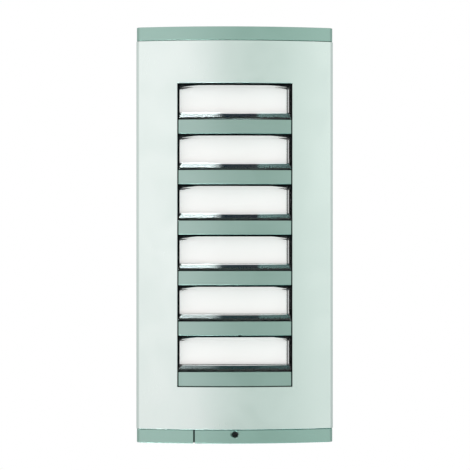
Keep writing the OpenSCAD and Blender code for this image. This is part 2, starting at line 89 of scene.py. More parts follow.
class Tree:
    """A node tree with short calls for adding and joining its nodes."""

    def __init__(self, tree: bpy.types.NodeTree) -> None:
        """Keeps the tree.

        Args:
            tree: The material's, group's or world's node tree.
        """
        self.tree = tree

    def add(self, kind: str, **settings: object) -> Node:
        """Adds a node.

        Args:
            kind: The node's type name without its ShaderNode prefix.
            settings: Properties set on the node.

        Returns:
            The new node.
        """
        node = self.tree.nodes.new("ShaderNode" + kind)
        for name, value in settings.items():
            setattr(node, name, value)
        return node

    def feed(self, target: Socket, value: Socket | float | tuple) -> None:
        """Links a socket to the target, or sets a plain value on it.

        Args:
            target: The input that is fed.
            value: The socket or plain value that feeds it.
        """
        if isinstance(value, bpy.types.NodeSocket):
            self.tree.links.new(value, target)
        else:
            target.default_value = value

    def sum(self, operation: str, *values: Socket | float) -> Socket:
        """Adds a Math node.

        Args:
            operation: The Math node's operation.
            values: Its inputs, as sockets or numbers.

        Returns:
            The node's output.
        """
        node = self.add("Math", operation=operation)
        for target, value in zip(node.inputs, values):
            self.feed(target, value)
        return node.outputs[0]

    def between(
        self, value: Socket, start: float, end: float, low: float = 0.0, high: float = 1.0
    ) -> Socket:
        """Turns a value's range smoothly into another.

        Args:
            value: The value that is read.
            start: Where the change starts.
            end: Where it ends.
            low: The result at the start and before it.
            high: The result at the end and after it.

        Returns:
            The new value.
        """
        node = self.add("MapRange", interpolation_type="SMOOTHSTEP")
        for target, number in zip(node.inputs, (value, start, end, low, high)):
            self.feed(target, number)
        return node.outputs[0]

    def mix(self, factor: Socket | float, first: Socket | Colour, second: Socket | Colour) -> Socket:
        """Mixes two colours.

        Args:
            factor: Share of the second colour.
            first: The colour at 0.
            second: The colour at 1.

        Returns:
            The mixed colour.
        """
        node = self.add("Mix", data_type="RGBA")
        self.feed(node.inputs["Factor"], factor)
        for target, colour in ((node.inputs[6], first), (node.inputs[7], second)):
            self.feed(target, (*colour, 1.0) if isinstance(colour, tuple) else colour)
        return node.outputs[2]


class Effect(Enum):
    """Surface effects that several finishes share, by the name of their node group."""

    GRAIN = "fine_grain"
    SMUDGE = "hand_smudge"
    DUST = "settled_dust"


class EffectShelf:
    """Builds each shared effect once, as a node group, and places it in materials."""

    def __init__(self) -> None:
        """Builds the three groups."""
        self.groups = {
            Effect.GRAIN: self._grain(),
            Effect.SMUDGE: self._smudge(),
            Effect.DUST: self._dust(),
        }

    @staticmethod
    def _group(effect: Effect, inputs: dict[str, tuple[str, object]]) -> tuple[Tree, Node, Node]:
        """Starts a group with named inputs and one Value output.

        Args:
            effect: The effect that the group is for.
            inputs: For each input its socket type and default value.

        Returns:
            The group's tree, its input node and its output node.
        """
        group = bpy.data.node_groups.new(effect.value, "ShaderNodeTree")
        for name, (kind, value) in inputs.items():
            socket = group.interface.new_socket(name, in_out="INPUT", socket_type="NodeSocket" + kind)
            socket.default_value = value
        group.interface.new_socket("Value", in_out="OUTPUT", socket_type="NodeSocketFloat")
        tree = Tree(group)
        return tree, group.nodes.new("NodeGroupInput"), group.nodes.new("NodeGroupOutput")

    def _grain(self) -> bpy.types.NodeTree:
        """Builds fine grain that may be drawn out along an axis, as brushing is.

        Returns:
            The group.
        """
        tree, given, out = self._group(
            Effect.GRAIN,
            {"Vector": ("Vector", (0, 0, 0)), "Stretch": ("Vector", (1, 1, 1)), "Scale": ("Float", 2000.0)},
        )
        drawn = tree.add("VectorMath", operation="MULTIPLY")
        tree.feed(drawn.inputs[0], given.outputs["Vector"])
        tree.feed(drawn.inputs[1], given.outputs["Stretch"])
        noise = tree.add("TexNoise", normalize=True)
        tree.feed(noise.inputs["Vector"], drawn.outputs[0])
        tree.feed(noise.inputs["Scale"], given.outputs["Scale"])
        tree.feed(noise.inputs["Detail"], 3.0)
        tree.feed(noise.inputs["Roughness"], 0.6)
        tree.feed(out.inputs["Value"], noise.outputs[0])
        return tree.tree

    def _smudge(self) -> bpy.types.NodeTree:
        """Builds large soft patches, where hands and weather have changed the gloss.

        Returns:
            The group.
        """
        tree, given, out = self._group(
            Effect.SMUDGE, {"Vector": ("Vector", (0, 0, 0)), "Scale": ("Float", 40.0)}
        )
        broad = tree.add("TexNoise", normalize=True)
        tree.feed(broad.inputs["Vector"], given.outputs["Vector"])
        tree.feed(broad.inputs["Scale"], given.outputs["Scale"])
        tree.feed(broad.inputs["Detail"], 4.0)
        tree.feed(broad.inputs["Distortion"], 0.6)
        tree.feed(out.inputs["Value"], tree.between(broad.outputs[0], 0.35, 0.7))
        return tree.tree

    def _dust(self) -> bpy.types.NodeTree:
        """Builds dust that lies on the faces that look up.

        Returns:
            The group.
        """
        tree, given, out = self._group(
            Effect.DUST, {"Vector": ("Vector", (0, 0, 0)), "Normal": ("Vector", (0, 0, 1))}
        )
        parts = tree.add("SeparateXYZ")
        tree.feed(parts.inputs[0], given.outputs["Normal"])
        fleck = tree.add("TexNoise", normalize=True)
        tree.feed(fleck.inputs["Vector"], given.outputs["Vector"])
        tree.feed(fleck.inputs["Scale"], 260.0)
        tree.feed(fleck.inputs["Detail"], 5.0)
        level = tree.between(parts.outputs[2], 0.3, 0.9)
        patch = tree.between(fleck.outputs[0], 0.4, 0.75)
        tree.feed(out.inputs["Value"], tree.sum("MULTIPLY", level, patch))
        return tree.tree

    def place(self, tree: Tree, effect: Effect, vector: Socket, **values: object) -> Socket:
        """Puts an effect into a material.

        Args:
            tree: The material's tree.
            effect: Which effect.
            vector: The place on the surface.
            values: The group's other inputs.

        Returns:
            The effect's value.
        """
        node = tree.add("Group", node_tree=self.groups[effect])
        tree.feed(node.inputs["Vector"], vector)
        for name, value in values.items():
            tree.feed(node.inputs[name], value)
        return node.outputs["Value"]


# ---- Finishes ----


@dataclass(frozen=True)
class Finish:
    """A finish with fine grain, changing gloss and a little dust."""

    slot: str
    colour: Colour
    metallic: float = 0.0
    roughness: float = 0.45
    gloss_change: float = 0.08
    tint_change: float = 0.08
    grain_scale: float = 2500.0
    grain_stretch: Colour = (1.0, 1.0, 1.0)
    grain_height: float = 0.00002
    smudge_scale: float = 45.0
    dust: float = 0.12
    coat: float = 0.0
    coat_roughness: float = 0.1
    # painted_glow: the surface gives off light in its own colour, which is painted light; only the name card
    # uses it
    painted_glow: float = 0.0
    specular: float = 0.5

    def make(self, shelf: EffectShelf) -> bpy.types.Material:
        """Builds the material.

        Args:
            shelf: The shared effects.

        Returns:
            The material, named after its slot.
        """
        material = bpy.data.materials.new(self.slot)
        material.use_nodes = True
        material.node_tree.nodes.clear()
        tree = Tree(material.node_tree)
        where = tree.add("TexCoord")
        shader = tree.add("BsdfPrincipled")
        out = tree.add("OutputMaterial")
        colour, roughness, height = self.surface(tree, shelf, where)
        tree.feed(shader.inputs["Base Color"], colour)
        tree.feed(shader.inputs["Roughness"], roughness)
        self.constants(shader)
        bump = tree.add("Bump")
        bump.inputs["Strength"].default_value = 1.0
        tree.feed(bump.inputs["Distance"], self.grain_height)
        tree.feed(bump.inputs["Height"], height)
        tree.feed(shader.inputs["Normal"], bump.outputs[0])
        tree.feed(out.inputs["Surface"], self.cover(tree, shader))
        return material

    def surface(self, tree: Tree, shelf: EffectShelf, where: Node) -> tuple[Socket, Socket, Socket]:
        """Builds what changes over the surface.

        Args:
            tree: The material's tree.
            shelf: The shared effects.
            where: The material's Texture Coordinate node.

        Returns:
            The colour, the roughness and the bump's height.
        """
        place = where.outputs["Object"]
        grain = shelf.place(tree, Effect.GRAIN, place, Stretch=self.grain_stretch, Scale=self.grain_scale)
        smudge = shelf.place(tree, Effect.SMUDGE, place, Scale=self.smudge_scale)
        dust = shelf.place(tree, Effect.DUST, place, Normal=where.outputs["Normal"])
        deep = tuple(c * (1.0 - self.tint_change) for c in self.colour)
        light = tuple(min(1.0, c * (1.0 + self.tint_change)) for c in self.colour)
        colour = tree.mix(self._share(tree, grain, smudge), deep, light)
        colour = tree.mix(tree.sum("MULTIPLY", dust, self.dust), colour, (0.62, 0.6, 0.56))
        rough = tree.sum("MULTIPLY_ADD", smudge, self.gloss_change, self.roughness - self.gloss_change / 2)
        rough = tree.sum("MULTIPLY_ADD", grain, self.gloss_change * 0.5, rough)
        rough = tree.sum("MULTIPLY_ADD", dust, 0.3 * self.dust, rough)
        return colour, rough, grain

    @staticmethod
    def _share(tree: Tree, grain: Socket, smudge: Socket) -> Socket:
        """Half grain and half smudge."""
        return tree.sum("MULTIPLY_ADD", smudge, 0.5, tree.sum("MULTIPLY", grain, 0.5))

    def constants(self, shader: Node) -> None:
        """Sets the numbers that are the same all over, on the shader's own sockets.

        Args:
            shader: The finish's shader.
        """
        shader.inputs["Metallic"].default_value = self.metallic
        shader.inputs["Coat Weight"].default_value = self.coat
        shader.inputs["Coat Roughness"].default_value = self.coat_roughness
        shader.inputs["Specular IOR Level"].default_value = self.specular
        # Painted glow: light painted onto a surface that is no lamp
        if self.painted_glow:
            shader.inputs["Emission Color"].default_value = (*self.colour, 1.0)
            shader.inputs["Emission Strength"].default_value = self.painted_glow

    def cover(self, tree: Tree, shader: Node) -> Socket:
        """The shader as the surface shows it."""
        return shader.outputs[0]


@dataclass(frozen=True)
class ClearFinish(Finish):
    """Clear acrylic: light from lamps passes it unbent, and the eye sees it bent."""

    ior: float = 1.49

    def constants(self, shader: Node) -> None:
        """Sets full transmission.

        Args:
            shader: The finish's shader.
        """
        super().constants(shader)
        shader.inputs["Transmission Weight"].default_value = 1.0
        shader.inputs["IOR"].default_value = self.ior

    def cover(self, tree: Tree, shader: Node) -> Socket:
        """Mixes in plain transparency for shadow and diffuse rays.

        Args:
            tree: The material's tree.
            shader: The acrylic's shader.

        Returns:
            The mixed surface.
        """
        path = tree.add("LightPath")
        straight = tree.sum("MAXIMUM", path.outputs["Is Shadow Ray"], path.outputs["Is Diffuse Ray"])
        mix = tree.add("MixShader")
        tree.feed(mix.inputs[0], straight)
        tree.feed(mix.inputs[1], shader.outputs[0])
        tree.feed(mix.inputs[2], tree.add("BsdfTransparent").outputs[0])
        return mix.outputs[0]


@dataclass(frozen=True)
class BoardFinish(Finish):
    """Solder resist over copper tracks, which show as lighter, slightly raised lines."""

    track_colour: Colour = (0.05, 0.2, 0.09)
    track_pitch: float = 2.2 * MM
    bay: float = 14.0 * MM

    def surface(self, tree: Tree, shelf: EffectShelf, where: Node) -> tuple[Socket, Socket, Socket]:
        """Adds the tracks to the plain finish.

        Args:
            tree: The material's tree.
            shelf: The shared effects.
            where: The material's Texture Coordinate node.

        Returns:
            The colour, the roughness and the bump's height.
        """
        colour, rough, grain = super().surface(tree, shelf, where)
        parts = tree.add("SeparateXYZ")
        tree.feed(parts.inputs[0], where.outputs["Object"])
        cell = tree.add("TexVoronoi", distance="MANHATTAN", feature="F1")
        tree.feed(cell.inputs["Vector"], where.outputs["Object"])
        tree.feed(cell.inputs["Scale"], 1.0 / self.bay)
        turn = tree.add("SeparateColor")
        tree.feed(turn.inputs[0], cell.outputs["Color"])
        upright = tree.sum("GREATER_THAN", turn.outputs[0], 0.5)
        lines = []
        for axis in (0, 2):
            along = tree.sum("PINGPONG", parts.outputs[axis], self.track_pitch / 2)
            lines.append(tree.between(along, 0.18 * self.track_pitch, 0.24 * self.track_pitch))
        flat = tree.sum("SUBTRACT", 1.0, upright)
        track = tree.sum(
            "ADD", tree.sum("MULTIPLY", lines[0], upright), tree.sum("MULTIPLY", lines[1], flat)
        )
        track = tree.sum("MULTIPLY", track, tree.sum("GREATER_THAN", turn.outputs[1], 0.35))
        colour = tree.mix(track, colour, self.track_colour)
        return colour, rough, tree.sum("MULTIPLY_ADD", track, 2.0, grain)


FINISHES = (
    Finish("anodised_front", (0.80, 0.93, 0.885), metallic=0.9, roughness=0.3, tint_change=0.02,
           grain_stretch=(1.0, 1.0, 0.02), grain_scale=5200.0, grain_height=0.000004, dust=0.05),
    Finish("anodised_button", (0.385, 0.555, 0.50), metallic=0.85, roughness=0.32, tint_change=0.03,
           grain_stretch=(0.04, 1.0, 1.0), grain_scale=5200.0, grain_height=0.000004, dust=0.04),
    Finish("cap_paint", (0.37, 0.575, 0.505), metallic=0.8, roughness=0.36, tint_change=0.03,
           grain_scale=3200.0, grain_height=0.000006, dust=0.08, coat=0.15),
    ClearFinish("clear_lens", (1.0, 1.0, 1.0), roughness=0.015, gloss_change=0.02, tint_change=0.0,
                grain_scale=160.0, grain_height=0.000001, dust=0.0),
    # The name card glows evenly: painted light that makes it read bright white behind the clear plate
    Finish("card_white", (0.93, 0.93, 0.915), roughness=0.8, tint_change=0.015, grain_scale=1800.0,
           grain_height=0.00001, dust=0.0, painted_glow=0.3),
    Finish("carrier_plastic", (0.004, 0.006, 0.008), roughness=0.7, tint_change=0.2,
           grain_scale=1800.0, grain_height=0.00002, dust=0.0, specular=0.15),
    Finish("diffuser_plastic", (0.86, 0.87, 0.84), roughness=0.5, tint_change=0.02),
    Finish("seal_rubber", (0.014, 0.015, 0.017), roughness=0.72, tint_change=0.25,
           grain_scale=1400.0, grain_height=0.00005, dust=0.25),
    Finish("box_plastic", (0.60, 0.61, 0.59), roughness=0.55, tint_change=0.04, grain_scale=1300.0,
           grain_height=0.00007, dust=0.2),
    BoardFinish("board_resin", (0.012, 0.11, 0.05), roughness=0.35, tint_change=0.08,
                grain_height=0.00002),
    Finish("component_plastic", (0.022, 0.023, 0.026), roughness=0.5, tint_change=0.2,
           grain_scale=2400.0, grain_height=0.00003),
    Finish("terminal_plastic", (0.03, 0.27, 0.16), roughness=0.4, tint_change=0.06),
    Finish("lamp_plastic", (0.85, 0.83, 0.68), roughness=0.3, tint_change=0.04),
    Finish("switch_plastic", (0.03, 0.03, 0.033), roughness=0.45, tint_change=0.15),
    Finish("plunger_plastic", (0.78, 0.76, 0.68), roughness=0.4, tint_change=0.04),
    Finish("fixing_steel", (0.66, 0.67, 0.67), metallic=1.0, roughness=0.28, tint_change=0.05,
           grain_scale=4200.0, grain_stretch=(1.0, 0.1, 1.0), grain_height=0.000008),
    Finish("dark_steel", (0.13, 0.135, 0.14), metallic=1.0, roughness=0.36, tint_change=0.1,
           grain_scale=3800.0, grain_height=0.00001),
)


class Wardrobe:
    """Holds one material per slot and dresses nodes and pieces with them."""

    def __init__(self, finishes: tuple[Finish, ...]) -> None:
        """Builds the materials.

        Args:
            finishes: The finishes, one per slot.
        """
        shelf = EffectShelf()
        self.materials = {finish.slot: finish.make(shelf) for finish in finishes}

    def node(self, slot: str, *names: str) -> None:
        """Gives CAD nodes the finish of a slot.

        Args:
            slot: The material slot.
            names: The CAD nodes.
        """
        for name in names:
            for place in frame["nodes"][name].material_slots:
                place.material = self.materials[slot]

    def piece(
        self, name: str, bm: bmesh.types.BMesh, slot: str, body: str, *stands_for: str
    ) -> bpy.types.Object:
        """Makes an object of a mesh, dressed and riding on its body.

        Args:
            name: The piece's name.
            bm: Its mesh in the row frame, which is freed.
            slot: The material slot it takes its finish from.
            body: The body it moves with.
            stands_for: CAD nodes that it is shown instead of.

        Returns:
            The finished object.
        """
        mesh = bpy.data.meshes.new(name)
        bm.to_mesh(mesh)
        bm.free()
        old_normals = mesh.attributes.get("custom_normal")
        if old_normals:
            mesh.attributes.remove(old_normals)
        mesh.materials.clear()
        mesh.materials.append(self.materials[slot])
        obj = bpy.data.objects.new(name, mesh)
        bpy.context.scene.collection.objects.link(obj)
        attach(obj, body)
        if stands_for:
            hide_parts(*stands_for)
        return obj

    def eased(self, node: str, slot: str, body: str, ease_mm: float) -> bpy.types.Object:
        """Shows a merged copy of a CAD node whose sharp edges are eased.

        Args:
            node: The CAD node, which the copy replaces.
            slot: The material slot.
            body: The body that the node rides on.
            ease_mm: Width of the eased edges in millimetres.

        Returns:
            The copy.
        """
        bm = bmesh.new()
        bm.from_mesh(frame["nodes"][node].data)
        bmesh.ops.remove_doubles(bm, verts=bm.verts, dist=0.002 * MM)
        bmesh.ops.dissolve_limit(bm, angle_limit=math.radians(0.3), verts=bm.verts, edges=bm.edges)
        for face in bm.faces:
            face.smooth = True
            face.material_index = 0
        copy = self.piece(f"{node}_eased", bm, slot, body, node)
        ease = copy.modifiers.new("eased_edges", "BEVEL")
        ease.width = ease_mm * MM
        ease.segments = 2
        ease.limit_method = "ANGLE"
        ease.angle_limit = math.radians(30)
        ease.use_clamp_overlap = False
        ease.harden_normals = True
        return copy


# ---- Shapes that several pieces use ----


def moved(bm: bmesh.types.BMesh, verts: list, place: Vector | tuple) -> None:
    """Shifts vertices by a vector."""
    bmesh.ops.translate(bm, verts=verts, vec=Vector(place))


def brick(bm: bmesh.types.BMesh, low: Vector | tuple, high: Vector | tuple, ease: float = 0.0) -> list:
    """Adds a block with eased edges.

    Args:
        bm: The mesh it is added to.
        low: Its lowest corner.
        high: Its highest corner.
        ease: Width of its eased edges.

    Returns:
        The block's vertices.
    """
    low, high = Vector(low), Vector(high)
    verts = bmesh.ops.create_cube(bm, size=1.0)["verts"]
    bmesh.ops.scale(bm, verts=verts, vec=high - low)
    moved(bm, verts, (low + high) / 2)
    if ease:
        edges = list({e for v in verts for e in v.link_edges})
        made = bmesh.ops.bevel(
            bm, geom=edges, offset=ease, segments=2, affect="EDGES", profile=0.5, material=-1
        )
        verts = list({v for f in made["faces"] for v in f.verts} | {v for v in verts if v.is_valid})
    return verts


def turned(
    bm: bmesh.types.BMesh, outline: list[tuple[float, float]], centre: Vector, steps: int
) -> None:
    """Adds a piece turned about an axis along Y.

    Args:
        bm: The mesh it is added to.
        outline: Radius and y of each point; a closed ring where the first point comes again.
        centre: A point on the axis; its y is added to the outline's.
        steps: Number of steps round the axis.
    """
    closed = outline[0] == outline[-1]
    points = outline[:-1] if closed else outline
    verts = [bm.verts.new(centre + Vector((r, y, 0.0))) for r, y in points]
    edges = [bm.edges.new(pair) for pair in zip(verts, verts[1:])]
    if closed:
        edges.append(bm.edges.new((verts[-1], verts[0])))
    bmesh.ops.spin(bm, geom=verts + edges, cent=centre, axis=(0, 1, 0), angle=math.tau, steps=steps,
                   use_merge=True)
    bmesh.ops.remove_doubles(bm, verts=bm.verts, dist=0.001 * MM)
    bmesh.ops.recalc_face_normals(bm, faces=bm.faces)


def smooth(bm: bmesh.types.BMesh, angle: float = 35.0) -> None:
    """Shades a mesh smooth, apart from its sharp edges.

    Args:
        bm: The mesh.
        angle: Degrees from which an edge counts as sharp.
    """
    for face in bm.faces:
        face.smooth = True
    for edge in bm.edges:
        edge.smooth = len(edge.link_faces) < 2 or edge.calc_face_angle(0.0) < math.radians(angle)


# ---- Front ----


@dataclass
class Front:
    """The crowned aluminium front with its end caps and window seal."""

    wardrobe: Wardrobe
    profile_ease_mm: float = 0.2
    cap_ease_mm: float = 0.35

    def build(self) -> None:
        """Dresses the profile, caps, screws and seal."""
        self.wardrobe.eased("front_profile", "anodised_front", "front", self.profile_ease_mm)
        for node in ("top_cap", "bottom_cap", "bottom_cap_side_piece"):
            self.wardrobe.eased(node, "cap_paint", "front", self.cap_ease_mm)
        self.wardrobe.node("fixing_steel", "cap_screws")
        # The cap split seal is black rubber behind the cap's split: it seals, and it is also painted shade
        # that makes the split read dark
        self.wardrobe.node("seal_rubber", "window_gasket", "cap_split_seal")
        log.info("front: profile, three cap pieces, cap screws, window seal and cap seal")


# ---- Call units ----


@dataclass
class NamePlateLens:
    """A clear crowned plate with four bevels, and behind it the block that presses on the card."""

    low: Vector
    high: Vector
    rest_y: float
    crown_radius: float = 288.0 * MM
    crown_recess: float = 1.0 * MM
    side_bevel: float = 2.2 * MM
    top_bevel: float = 1.3 * MM
    foot_bevel: float = 3.7 * MM
    bevel_depth: float = 1.8 * MM
    block_overlap: float = 1.0 * MM
    block_raise: float = 0.975 * MM
    corner_drop: float = 2.2 * MM
    corner_length: float = 18.0 * MM
    corner_margin: float = 1.2 * MM
    air: float = 0.05 * MM
    strips: int = 22

    def crown(self, x: float) -> float:
        """Measures how far the crowned face falls back.

        Args:
            x: Distance sideways from the middle.

        Returns:
            The distance.
        """
        radius = self.crown_radius - self.crown_recess
        return radius - math.sqrt(radius * radius - x * x)

    def corner(self, x: float) -> float:
        """Measures how far the block's upper edge curves down.

        Args:
            x: Distance sideways from the middle.

        Returns:
            The distance.
        """
        past = abs(x) - (self.high.x - self.side_bevel + self.corner_margin - self.corner_length)
        radius = self.corner_length**2 / (2 * self.corner_drop) + self.corner_drop / 2
        return radius - math.sqrt(radius * radius - past * past) if past > 0 else 0.0

    def mesh(self) -> bmesh.types.BMesh:
        """Builds the lens.

        Returns:
            A closed mesh in the row frame.
        """
        bm = bmesh.new()
        low, high = self.low, Vector((self.high.x, self.rest_y, self.high.z))
        brick(bm, low, high)
        flat_x = high.x - self.side_bevel
        flat_low, flat_high = low.z + self.foot_bevel, high.z - self.top_bevel
        cuts = [(Vector((x, 0, 0)), Vector((1, 0, 0))) for x in self._steps(flat_x)]
        cuts += [(Vector((0, 0, z)), Vector((0, 0, 1))) for z in (flat_low, flat_high)]
        for place, normal in cuts:
            geom = list(bm.verts) + list(bm.edges) + list(bm.faces)
            bmesh.ops.bisect_plane(bm, geom=geom, plane_co=place, plane_no=normal, dist=1e-7)
        self._mitres(bm, flat_x, flat_low, flat_high)
        block = self._shape(bm, flat_x, flat_low, flat_high)
        made = bmesh.ops.extrude_face_region(bm, geom=block)["geom"]
        verts = [part for part in made if isinstance(part, bmesh.types.BMVert)]
        moved(bm, verts, (0.0, self.high.y - self.rest_y, 0.0))
        bmesh.ops.delete(bm, geom=[f for f in block if f.is_valid], context="FACES_ONLY")
        bmesh.ops.recalc_face_normals(bm, faces=bm.faces)
        smooth(bm, 12.0)
        return bm

    def _steps(self, flat_x: float) -> list[float]:
        """Where the plate is cut across, so that its face can be crowned."""
        return [flat_x * (2 * k / self.strips - 1) for k in range(self.strips + 1)]

    def _mitres(self, bm: bmesh.types.BMesh, flat_x: float, flat_low: float, flat_high: float) -> None:
        """Joins each outer corner of the front to its inner corner.

        Args:
            bm: The cut plate.
            flat_x: Half the flat's width.
            flat_low: The flat's lower edge.
            flat_high: The flat's upper edge.
        """
        for side in (-1, 1):
            for outer_z, inner_z in ((self.low.z, flat_low), (self.high.z, flat_high)):
                ends = (Vector((side * self.high.x, self.low.y, outer_z)),
                        Vector((side * flat_x, self.low.y, inner_z)))
                pair = [min(bm.verts, key=lambda v, end=end: (v.co - end).length) for end in ends]
                bmesh.ops.connect_verts(bm, verts=pair)

    def _shape(self, bm: bmesh.types.BMesh, flat_x: float, flat_low: float, flat_high: float) -> list:
        """Crowns the front, drops its rim and marks out the block on the rear.

        Args:
            bm: The cut plate.
            flat_x: Half the flat's width.
            flat_low: The flat's lower edge.
            flat_high: The flat's upper edge.

        Returns:
            The rear faces that the block grows from.
        """
        near = 0.001 * MM
        block = []
        for face in bm.faces:
            middle = face.calc_center_median()
            inside = abs(middle.x) < flat_x and flat_low < middle.z < flat_high
            if inside and middle.y > self.rest_y - near:
                block.append(face)
        for v in bm.verts:
            x, z = v.co.x, v.co.z
            if v.co.y < self.low.y + near:
                rim = abs(x) > self.high.x - near or z < self.low.z + near or z > self.high.z - near
                v.co.y += self.crown(x) + (self.bevel_depth if rim else 0.0)
                continue
            v.co.y -= self.air
            if abs(z - flat_high) < near:
                v.co.z += self.block_raise - self.corner(x)
            if abs(abs(x) - flat_x) < near:
                v.co.x += math.copysign(self.block_overlap, x)
        return block


@dataclass
class CallUnit:
    """One name plate with its card, bar button, springs and switch."""

    wardrobe: Wardrobe
    number: int
    button_ease_mm: float = 0.3
    coil_wire: float = 0.25 * MM
    coil_turns: float = 4.0
    press: float = 1.5 * MM

    def build(self) -> None:
        """Dresses the unit and coils its springs."""
        n = self.number
        lens = NamePlateLens(*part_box(f"nameplate_lens_{n}"), rest_y=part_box("call_carrier")[0].y)
        self.wardrobe.piece(f"clear_lens_{n}", lens.mesh(), "clear_lens", "front", f"nameplate_lens_{n}")
        self.wardrobe.node("card_white", f"name_card_{n}")
        self.wardrobe.eased(f"call_button_{n}", "anodised_button", f"call_button_{n}", self.button_ease_mm)
        self.wardrobe.node("switch_plastic", f"switch_housing_{n}")
        self.wardrobe.node("plunger_plastic", f"switch_plunger_{n}")
        self.springs()
        log.info("call unit %d: lens, card, button, two coil springs and switch", n)

    def springs(self) -> None:
        """Coils the unit's two springs."""
        node = f"button_springs_{self.number}"
        low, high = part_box(node)
        bm = bmesh.new()
        radius = (high.z - low.z) / 2
        for x in (low.x + radius, high.x - radius):
            self._coil(bm, Vector((x, high.y, (low.z + high.z) / 2)), radius, high.y - low.y)
        smooth(bm, 60.0)
        piece = self.wardrobe.piece(f"coil_springs_{self.number}", bm, "fixing_steel", "front", node)
        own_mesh(piece)

    def _coil(self, bm: bmesh.types.BMesh, foot: Vector, radius: float, length: float) -> None:
        """Adds a spring with a closed turn at each end.

        Args:
            bm: The mesh it is added to.
            foot: Middle of the spring's rear end.
            radius: The spring's outer radius.
            length: Its length towards the viewer.
        """
        wire = self.coil_wire
        start = bmesh.ops.create_circle(bm, segments=8, radius=wire)["verts"]
        moved(bm, start, foot + Vector((radius - wire, -wire, 0.0)))
        closed_rise = 2.1 * wire
        open_turns = self.coil_turns - 2.0
        open_rise = length - 2 * wire - 2 * closed_rise
        geom = start + list({e for v in start for e in v.link_edges})
        caps = [bm.faces.new(start)]
        for turns, rise in ((1.0, closed_rise), (open_turns, open_rise), (1.0, closed_rise)):
            steps = int(24 * turns)
            made = bmesh.ops.spin(bm, geom=geom, cent=foot, axis=(0, 1, 0), angle=math.tau * turns,
                                  steps=steps, dvec=(0.0, -rise / steps, 0.0))
            geom = [part for part in made["geom_last"] if not isinstance(part, bmesh.types.BMFace)]
        last = [part for part in geom if isinstance(part, bmesh.types.BMVert)]
        caps.extend(bmesh.ops.contextual_create(bm, geom=last)["faces"])
        bmesh.ops.recalc_face_normals(bm, faces=bm.faces)


@dataclass
class Carrier:
    """The moulding behind the window that holds the name plates and lets the lamps through."""

    wardrobe: Wardrobe

    def build(self) -> None:
        """Dresses the carrier and the diffuser."""
        self.wardrobe.node("carrier_plastic", "call_carrier")
        self.wardrobe.node("diffuser_plastic", "light_diffuser")
        log.info("carrier: moulding and light diffuser")


# ---- Circuit board ----


@dataclass(frozen=True)
class LegShape:
    """The reach, width, drop and pitch of a chip's legs."""

    reach: float
    width: float
    drop: float
    pitch: float


